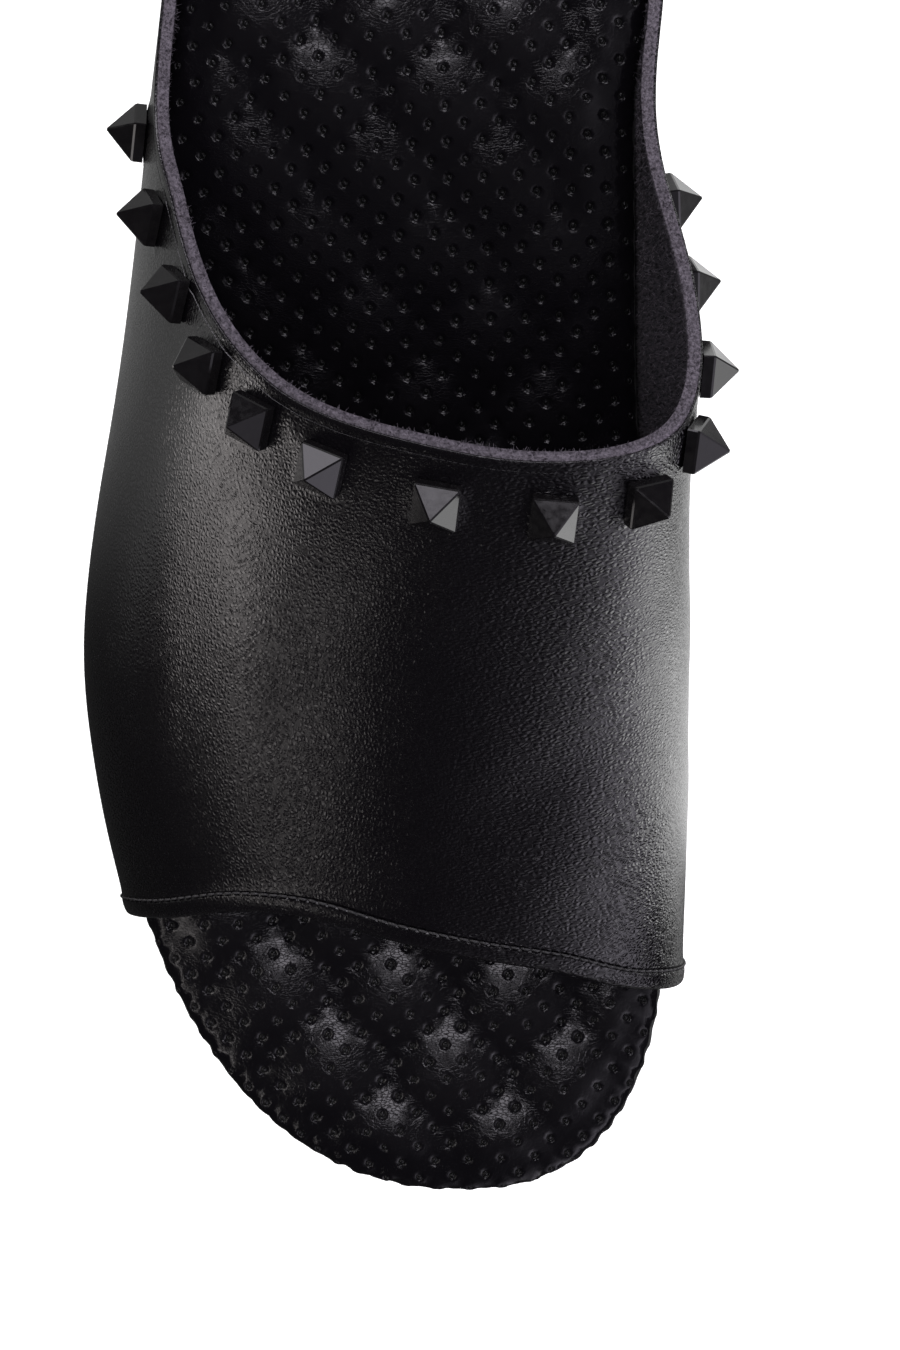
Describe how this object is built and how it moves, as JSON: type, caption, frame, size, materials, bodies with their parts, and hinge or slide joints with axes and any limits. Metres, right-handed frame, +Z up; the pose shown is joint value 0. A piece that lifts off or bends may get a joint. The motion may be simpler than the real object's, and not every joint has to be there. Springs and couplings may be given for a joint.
{
  "type": "house slipper",
  "caption": "Open-toe, open-back leather house slipper for the right foot: hollow pebbled upper with a studded collar, bumpy wrapped footbed and a low wedge sole.",
  "frame": {"origin": "on the floor under the middle of the slipper's box", "axes": "+Z up, toe towards -Y, heel towards +Y, big-toe side towards +X"},
  "size_m": [0.1022, 0.2498, 0.0818],
  "materials": {
    "sole": "matte moulded",
    "footbed": "smooth satin with pinholes",
    "upper": "pebbled satin, grey felt lining",
    "stud": "black enamel"
  },
  "bodies": {
    "root": {"outsole": "sole", "insole": "footbed", "upper": "upper", "stud_01": "stud", "stud_02": "stud", "stud_03": "stud", "stud_04": "stud", "stud_05": "stud", "stud_06": "stud", "stud_07": "stud", "stud_08": "stud", "stud_09": "stud", "stud_10": "stud", "stud_11": "stud", "stud_12": "stud", "stud_13": "stud"}
  },
  "joints": []
}
